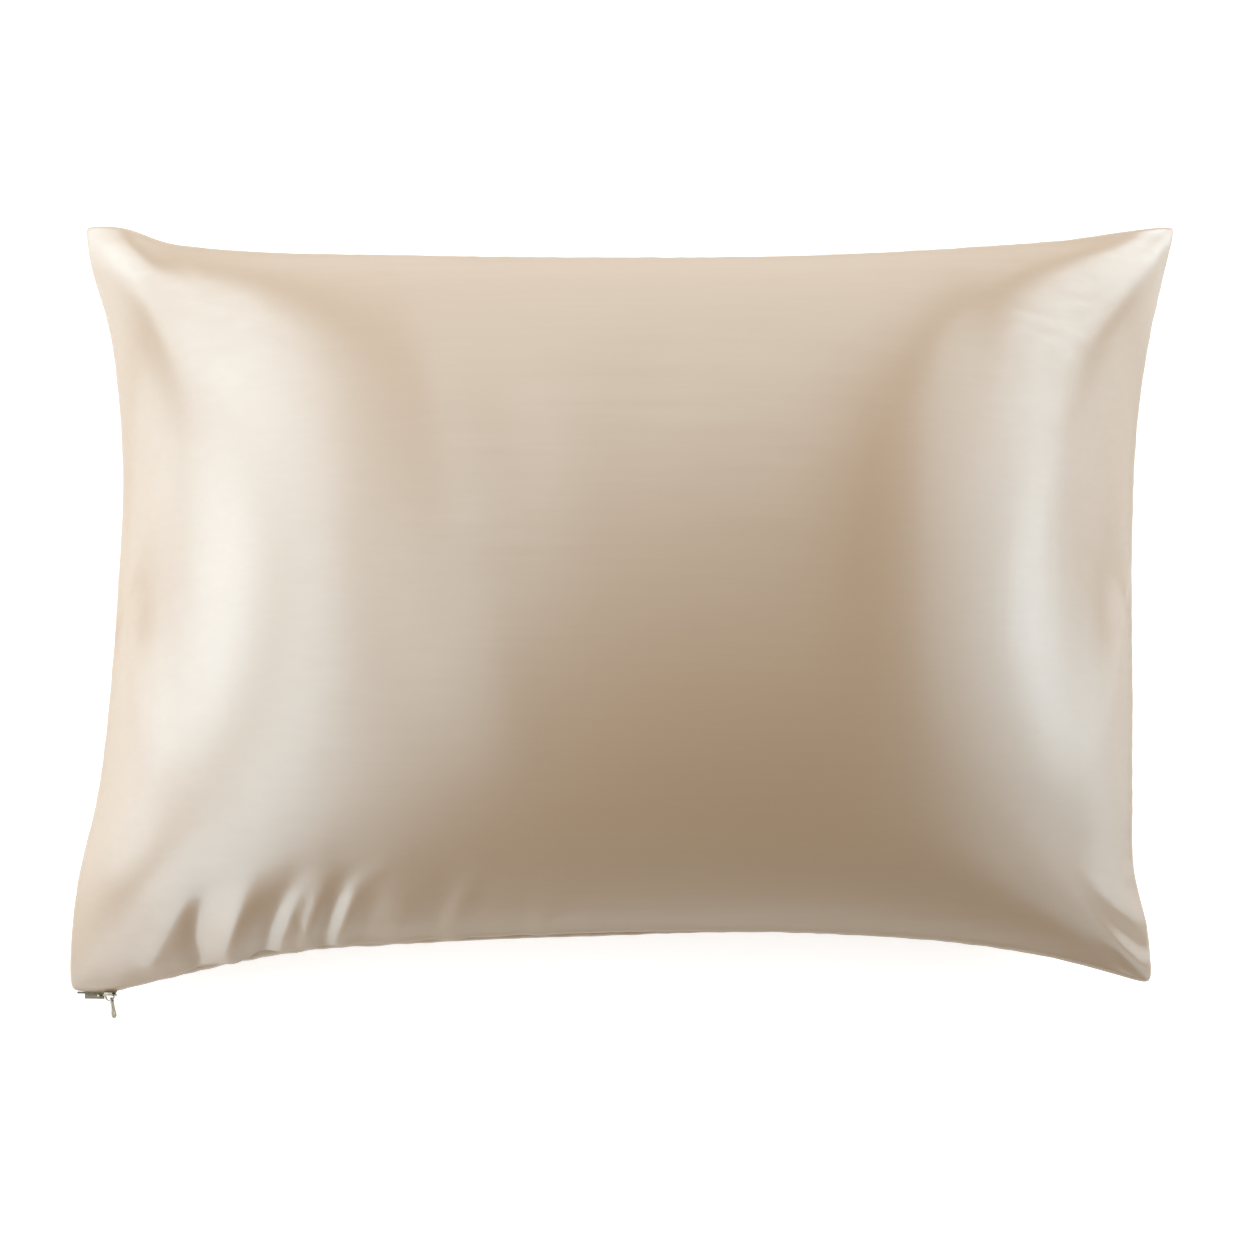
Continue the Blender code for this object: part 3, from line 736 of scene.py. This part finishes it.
def make_tape():
    """The woven tape's end: thin and a little rippled, with a row of stitches sunk along it."""
    nx, ny = TAPE_STEPS
    size = (TAPE_LENGTH, TAPE_REACH, TAPE_THICKNESS)
    mid_x = SLIDER_MIDDLE_X - SLIDER_LENGTH / 2 - CLEARANCE - TAPE_LENGTH / 2
    line = zip_line(mid_x)
    drop = COIL_RADIUS + 2 * CLEARANCE + TAPE_THICKNESS / 2
    mid = (mid_x, line.y + COIL_RADIUS - TAPE_REACH / 2 - 2 * CLEARANCE, line.z - drop)
    bm = bmesh.new()
    bmesh.ops.create_grid(bm, x_segments=nx, y_segments=ny, size=0.5)
    for vert in bm.verts:
        x, y = vert.co.x, vert.co.y
        ripple = TAPE_RIPPLE * math.sin(x * TAPE_RIPPLE_RATES[0] + y * TAPE_RIPPLE_RATES[1])
        in_line = math.exp(-(((y - STITCH_LINE[0]) / STITCH_LINE[1]) ** 2))
        sunk = STITCH_DEPTH * in_line * (STITCH_EVEN + (1 - STITCH_EVEN) * math.sin(x * STITCH_RATE))
        vert.co = (mid[0] + size[0] * x, mid[1] + size[1] * y, mid[2] + ripple - sunk)
    mesh = bpy.data.meshes.new("zip_tape_woven")
    bm.to_mesh(mesh)
    bm.free()
    obj = link("zip_tape_woven", mesh)
    thick = obj.modifiers.new("thickness", "SOLIDIFY")
    thick.thickness = size[2] - 2 * TAPE_SPARE
    thick.offset = 0
    return obj


def prism(bm, outline, low_y, high_y):
    """A plate of an outline in x and z, from low_y to high_y."""
    rings = [[bm.verts.new((x, y, z)) for x, z in outline] for y in (low_y, high_y)]
    bm.faces.new(rings[0])
    bm.faces.new(rings[1][::-1])
    for i in range(len(outline)):
        j = (i + 1) % len(outline)
        bm.faces.new((rings[0][j], rings[0][i], rings[1][i], rings[1][j]))


def rounded_rectangle(middle, half_x, half_z, radius, steps=5):
    """An outline in x and z about a middle point."""
    corners = ((1, 1, 0), (-1, 1, 90), (-1, -1, 180), (1, -1, 270))
    outline = []
    for side_x, side_z, first in corners:
        for i in range(steps + 1):
            turn = math.radians(first + 90 * i / steps)
            x = middle[0] + side_x * (half_x - radius) + radius * math.cos(turn)
            z = middle[2] + side_z * (half_z - radius) + radius * math.sin(turn)
            outline.append((x, z))
    return outline


def metal_from(bm, name, edge):
    """An object from plates, with its sharp edges softened."""
    bmesh.ops.recalc_face_normals(bm, faces=bm.faces)
    mesh = bpy.data.meshes.new(name)
    bm.to_mesh(mesh)
    bm.free()
    obj = link(name, mesh)
    soft = obj.modifiers.new("soft edges", "BEVEL")
    soft.width = edge
    soft.segments = 3
    soft.limit_method = "ANGLE"
    mesh.shade_smooth()
    return obj


def make_stop():
    """The stop: a small crimped clamp with two pressed grooves."""
    middle = zip_line(SLIDER_MIDDLE_X - SLIDER_LENGTH / 2 - STOP_TO_SLIDER)
    middle.y -= COIL_RADIUS + CLEARANCE + STOP_SIZE[1] / 2
    half = [side / 2 for side in STOP_SIZE]
    low_y, high_y = middle.y - half[1], middle.y + half[1]
    bm = bmesh.new()
    plate = rounded_rectangle(middle, half[0], half[2], STOP_ROUNDING)
    prism(bm, plate, low_y + STOP_RIB_HEIGHT, high_y)
    for shift in STOP_RIBS:
        rib = (middle[0], middle[1], middle[2] + shift * half[2])
        half_x, half_z = half[0] * STOP_RIB_SHARE[0], half[2] * STOP_RIB_SHARE[1]
        outline = rounded_rectangle(rib, half_x, half_z, STOP_RIB_ROUNDING)
        prism(bm, outline, low_y, low_y + STOP_RIB_HEIGHT + STOP_RIB_BURIED)
    return metal_from(bm, "zip_stop_crimp", STOP_EDGE)


def add_bridge(bm, middle, base):
    """The slider's flat bridge: a bent strip that stands out from the plate."""
    sides = []
    for out in (0, -BRIDGE_THICKNESS):
        for side in (-1, 1):
            row = []
            for i in range(BRIDGE_STEPS + 1):
                turn = math.pi * i / BRIDGE_STEPS
                along = -(BRIDGE_HALF_LENGTH - BRIDGE_THICKNESS / 2 - out) * math.cos(turn)
                rise = (BRIDGE_RISE - out) * math.sin(turn) ** BRIDGE_SQUARENESS
                place = (middle.x + along, base - rise, middle.z + side * BRIDGE_HALF_WIDTH)
                row.append(bm.verts.new(place))
            sides.append(row)
    for a, b in ((0, 1), (1, 3), (3, 2), (2, 0)):
        for i in range(BRIDGE_STEPS):
            bm.faces.new((sides[a][i], sides[a][i + 1], sides[b][i + 1], sides[b][i]))
    for i in (0, BRIDGE_STEPS):
        bm.faces.new([sides[k][i] for k in (0, 1, 3, 2)])


def make_slider():
    """The slider: a shield-shaped outer plate, its side flanges and the flat bridge for the pull."""
    middle = zip_line(SLIDER_MIDDLE_X)
    half_x, half_z = SLIDER_LENGTH / 2, SLIDER_WIDTH / 2
    face = middle.y - COIL_RADIUS - CLEARANCE
    shield = []
    for i in range(SHIELD_POINTS):
        turn = 2 * math.pi * i / SHIELD_POINTS
        c, n = math.cos(turn), math.sin(turn)
        flare = 1.0 - SHIELD_TAPER * (1 + c) / 2
        x = middle.x + half_x * math.copysign(abs(c) ** SHIELD_SQUARENESS[0], c)
        z = middle.z + half_z * flare * math.copysign(abs(n) ** SHIELD_SQUARENESS[1], n)
        shield.append((x, z))
    bm = bmesh.new()
    prism(bm, shield, face - SLIDER_PLATE, face)
    for side in (-1, 1):
        flange = (middle.x, 0, middle.z + side * (half_z - FLANGE_INSET))
        length = half_x - FLANGE_SHORTER
        outline = rounded_rectangle(flange, length, FLANGE_HALF_THICKNESS, FLANGE_ROUNDING)
        prism(bm, outline, face, middle.y)
    add_bridge(bm, middle, face - SLIDER_PLATE / 2)
    return metal_from(bm, "zip_slider_body", SLIDER_EDGE)


def closed_line(curve, points):
    """Adds a closed outline to a flat curve."""
    spline = curve.splines.new("POLY")
    spline.use_cyclic_u = True
    spline.points.add(len(points) - 1)
    for point, (x, y) in zip(spline.points, points):
        point.co = (x, y, 0, 1)


def arc(middle, radius_x, radius_y, first, last, steps):
    """Points of an arc about a place on the pull's length, from one turn to another."""
    turns = [math.radians(first + (last - first) * i / steps) for i in range(steps + 1)]
    return [(radius_x * math.cos(t), middle + radius_y * math.sin(t)) for t in turns]


def hole(middle, radius_x, radius_y):
    """A closed outline that runs the other way round, so that it cuts a hole."""
    last_turn = -360 * (PULL_HOLE_STEPS - 1) / PULL_HOLE_STEPS
    return arc(middle, radius_x, radius_y, 0, last_turn, PULL_HOLE_STEPS - 1)


def make_pull():
    """The flat pull with its eye round the bridge and a slot in its free end, standing out edge on."""
    curve = bpy.data.curves.new("zip_pull_tab", "CURVE")
    curve.dimensions = "2D"
    curve.fill_mode = "BOTH"
    curve.bevel_depth = PULL_EDGE
    curve.bevel_resolution = 2
    curve.offset = -PULL_EDGE
    curve.extrude = PULL_THICKNESS / 2 - PULL_EDGE
    neck, end = PULL_NECK / 2, PULL_WIDTH / 2
    waist = -PULL_LENGTH * PULL_WAIST
    outline = arc(0, neck, neck, 0, 180, 16) + [(-neck, waist)]
    outline += arc(-PULL_LENGTH + neck + end, end, end, 180, 360, 20) + [(neck, waist)]
    closed_line(curve, outline)
    closed_line(curve, hole(0, PULL_EYE_RADIUS, PULL_EYE_RADIUS))
    closed_line(curve, hole(-PULL_WINDOW_AT + neck, *PULL_WINDOW))
    obj = link("zip_pull_tab", curve)
    middle = zip_line(SLIDER_MIDDLE_X)
    plate_face = middle.y - COIL_RADIUS - CLEARANCE - SLIDER_PLATE / 2
    hinge = Vector((SLIDER_MIDDLE_X + PULL_ON_BRIDGE_X, plate_face - BRIDGE_RISE, middle.z))
    edge_on = Matrix.Rotation(math.radians(90), 4, "Y")
    obj.matrix_world = Matrix.Translation(hinge) @ Matrix.Rotation(PULL_TURN, 4, "Z") @ edge_on
    return obj


# ---------------------------------------------------------------- materials
NOISE_LOW, NOISE_HIGH = 0.3, 0.7
MIX_SHARE, MIX_FIRST, MIX_SECOND, MIX_COLOUR = 0, 6, 7, 2  # a Mix node's colour sockets, by number
WAVE_PERIOD = math.pi / 10  # a Wave texture's, at a scale of 1


class Nodes:
    """A material with short ways to add and wire its nodes."""

    def __init__(self, name):
        self.made = bpy.data.materials.new(name)
        self.made.use_nodes = True
        self.tree = self.made.node_tree
        self.surface = self.tree.nodes["Principled BSDF"]
        self.place = self.tree.nodes.new("ShaderNodeTexCoord").outputs["Object"]

    def add(self, kind, **values):
        """A node with its settings or inputs given by name."""
        node = self.tree.nodes.new(kind)
        for name, value in values.items():
            if hasattr(node, name):
                setattr(node, name, value)
            else:
                node.inputs[name.replace("_", " ")].default_value = value
        return node

    def wire(self, out, into):
        self.tree.links.new(out, into)

    def stretched(self, scale):
        """The object's own coordinates, scaled along each axis."""
        mapping = self.add("ShaderNodeMapping")
        mapping.inputs["Scale"].default_value = scale
        self.wire(self.place, mapping.inputs["Vector"])
        return mapping.outputs["Vector"]

    def noise(self, scale, detail=2.0, roughness=0.5):
        """Noise with its own scale along each axis, in cells to the metre."""
        noise = self.add("ShaderNodeTexNoise", Scale=1.0, Detail=detail, Roughness=roughness)
        self.wire(self.stretched(scale), noise.inputs["Vector"])
        return noise.outputs["Fac"]

    def bands(self, axis, period, distortion=0.0):
        """Even ribs across an axis."""
        wave = self.add("ShaderNodeTexWave", wave_type="BANDS", bands_direction=axis, Scale=1.0)
        wave.inputs["Distortion"].default_value = distortion
        self.wire(self.stretched([WAVE_PERIOD / period] * 3), wave.inputs["Vector"])
        return wave.outputs["Fac"]

    def ranged(self, value, low, high):
        """Noise, which seldom leaves its middle range, spread between two numbers."""
        node = self.add("ShaderNodeMapRange", From_Min=NOISE_LOW, From_Max=NOISE_HIGH)
        node.inputs["To Min"].default_value = low
        node.inputs["To Max"].default_value = high
        self.wire(value, node.inputs["Value"])
        return node.outputs["Result"]

    def blend(self, share, first, second):
        """A colour between two, each a colour or another node's output."""
        node = self.add("ShaderNodeMix", data_type="RGBA")
        for socket, value in ((node.inputs[MIX_FIRST], first), (node.inputs[MIX_SECOND], second)):
            if isinstance(value, tuple):
                socket.default_value = (*value, 1)
            else:
                self.wire(value, socket)
        self.wire(share, node.inputs[MIX_SHARE])
        return node.outputs[MIX_COLOUR]

    def bump(self, height, distance, strength, under=None):
        """A fine relief, over another one if it is given."""
        node = self.add("ShaderNodeBump", Strength=strength, Distance=distance)
        self.wire(height, node.inputs["Height"])
        if under is not None:
            self.wire(under, node.inputs["Normal"])
        return node.outputs["Normal"]

    def set(self, **values):
        """Sets the shader's own inputs."""
        for name, value in values.items():
            self.surface.inputs[name.replace("_", " ")].default_value = value

    def finish(self, colour, roughness, normal):
        """Wires the shader and gives the material."""
        self.wire(colour, self.surface.inputs["Base Color"])
        self.wire(roughness, self.surface.inputs["Roughness"])
        self.wire(normal, self.surface.inputs["Normal"])
        return self.made


def satin_material():
    """Satin: long smooth floats of thread along the case, so light spreads across them."""
    satin = Nodes("champagne_satin")
    satin.set(IOR=2.4, Specular_IOR_Level=0.8, Anisotropic=0.92, Sheen_Weight=0.05, Sheen_Roughness=0.4)
    satin.set(Specular_Tint=(*SATIN_GLOSS_TINT, 1))
    tangent = satin.add("ShaderNodeTangent", direction_type="RADIAL", axis="X")
    satin.wire(tangent.outputs[0], satin.surface.inputs["Tangent"])
    dye = satin.noise((2.2, 3.0, 3.0), 2.0)
    threads = satin.noise((14.0, 1100.0, 1100.0), 2.0)
    slubs = satin.noise((9.0, 210.0, 210.0), 3.0, 0.6)
    cross = satin.noise((420.0, 9.0, 9.0), 2.0)
    colour = satin.blend(satin.ranged(dye, 0, 1), SATIN_WARM, SATIN_PALE)
    colour = satin.blend(satin.ranged(slubs, 0.0, 0.16), colour, SATIN_THREAD)
    colour = satin.blend(satin.ranged(threads, 0.0, 0.10), colour, SATIN_THREAD)
    roughness = satin.ranged(slubs, 0.38, 0.43)
    normal = satin.bump(slubs, 0.00010, 0.35)
    normal = satin.bump(cross, 0.00008, 0.25, normal)
    normal = satin.bump(threads, 0.00004, 0.35, normal)
    return satin.finish(colour, roughness, normal)


def tape_material():
    """Woven polyester: a matt twill in grey beige."""
    tape = Nodes("zip_tape_twill")
    tape.set(Sheen_Weight=0.3, Sheen_Roughness=0.5, Specular_IOR_Level=0.25)
    ribs, picks = tape.bands("DIAGONAL", 0.00032, 0.6), tape.bands("X", 0.00026, 0.4)
    mottle = tape.noise((900.0, 900.0, 900.0), 3.0)
    colour = tape.blend(ribs, (0.150, 0.138, 0.095), (0.300, 0.278, 0.205))
    colour = tape.blend(tape.ranged(mottle, 0.0, 0.35), colour, (0.24, 0.22, 0.155))
    normal = tape.bump(ribs, 0.00006, 0.8)
    normal = tape.bump(picks, 0.00004, 0.6, normal)
    return tape.finish(colour, tape.ranged(mottle, 0.78, 0.92), normal)


def coil_material():
    """Moulded nylon, a little waxy."""
    coil = Nodes("zip_coil_nylon")
    coil.set(Specular_IOR_Level=0.45)
    mottle = coil.noise((700.0, 700.0, 700.0), 2.0)
    colour = coil.blend(coil.ranged(mottle, 0, 1), (0.17, 0.155, 0.105), (0.26, 0.235, 0.170))
    return coil.finish(colour, coil.ranged(mottle, 0.40, 0.55), coil.bump(mottle, 0.00002, 0.4))


def metal_material():
    """Die-cast zinc with a worn warm plating."""
    metal = Nodes("zip_plated_zinc")
    metal.set(Metallic=1.0)
    worn = metal.noise((500.0, 500.0, 500.0), 4.0, 0.6)
    grain = metal.noise((2600.0, 700.0, 2600.0), 2.0)
    colour = metal.blend(metal.ranged(worn, 0, 1), (0.26, 0.235, 0.175), (0.42, 0.385, 0.310))
    normal = metal.bump(grain, 0.00002, 0.5)
    return metal.finish(colour, metal.ranged(worn, 0.24, 0.42), normal)


# ---------------------------------------------------------------- stage
def make_floor():
    """A wide white floor."""
    bpy.ops.mesh.primitive_plane_add(size=FLOOR_SIZE)
    floor = bpy.context.active_object
    floor.name = "floor"
    white = Nodes("floor_white")
    white.set(Base_Color=FLOOR_COLOUR, Roughness=0.9, Specular_IOR_Level=0.1)
    white.set(Emission_Color=WHITE, Emission_Strength=FLOOR_GLOW)
    floor.data.materials.append(white.made)


def softbox(name, toward, watts):
    """A square area light that faces the case from a direction."""
    lamp = bpy.data.lights.new(name, "AREA")
    lamp.size = SOFTBOX_SIZE
    lamp.energy = watts
    lamp.color = LIGHT_TINT
    obj = link(name, lamp)
    direction = Vector(toward).normalized()
    obj.location = Vector(LIGHT_TARGET) + direction * LIGHT_DISTANCE
    obj.rotation_euler = direction.to_track_quat("Z", "Y").to_euler()


def make_lights():
    """The soft boxes and the room's own dim light."""
    for box in SOFTBOXES:
        around, down = math.radians(box.around), math.radians(box.down)
        flat = math.sin(down)
        toward = (flat * math.cos(around), flat * math.sin(around), math.cos(down))
        softbox(f"softbox_{box.around}_{box.down}", toward, box.watts)
    world = bpy.data.worlds.new("studio")
    world.use_nodes = True
    background = world.node_tree.nodes["Background"]
    background.inputs["Color"].default_value = WHITE
    background.inputs["Strength"].default_value = ROOM_LIGHT
    bpy.context.scene.world = world


def make_camera():
    """The photo's view: nearly straight down, with the case's long side level in the picture."""
    data = bpy.data.cameras.new("camera")
    camera = link("camera", data)
    back = Vector((math.sin(VIEW_SIDE), -math.sin(VIEW_TILT), math.cos(VIEW_TILT))).normalized()
    camera.location = Vector(VIEW_TARGET) + back * VIEW_DISTANCE
    across = Vector((1, 0, 0)) - back * back.x
    across.normalize()
    up = back.cross(across)
    turn = Matrix((across, up, back)).transposed().to_4x4()
    camera.matrix_world = Matrix.Translation(camera.location) @ turn
    data.sensor_width = SENSOR_WIDTH
    data.lens = data.sensor_width * VIEW_DISTANCE / VIEW_WIDTH
    bpy.context.scene.camera = camera
    bpy.context.scene.view_settings.view_transform = "Standard"


def make_case():
    """The two panels with their satin, in place of the CAD's filled solid."""
    panels = Panels()
    case = panels.mesh_object("satin_case")
    held = np.zeros(panels.count, bool)
    held[panels.back_number] = panels.rim | panels.on_floor(positions(case))
    swell(case, panels.laid_flat(), held)
    panels.add_seam_detail(case)
    case.data.materials.append(satin_material())
    smooth = case.modifiers.new("soft form", "SUBSURF")
    smooth.levels = smooth.render_levels = 1
    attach(case, "root")
    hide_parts("pillowcase")


def make_zip():
    """The five pieces of the zip's shown end."""
    tape, metal = tape_material(), metal_material()
    zip_pieces = (
        (make_coil(), "zip_coil", "zip_tape", coil_material()),
        (make_tape(), "zip_tape", "zip_tape", tape),
        (make_stop(), "zip_stop", "zip_metal", metal),
        (make_slider(), "zip_slider", "zip_metal", metal),
        (make_pull(), "zip_pull", "zip_metal", metal),
    )
    for piece, node, slot, finish in zip_pieces:
        piece.data.materials.append(finish)
        tilt_with_seam(piece)
        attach(piece, "root")
        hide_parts(node)


def main():
    make_case()
    make_zip()
    make_floor()
    make_lights()
    make_camera()


main()
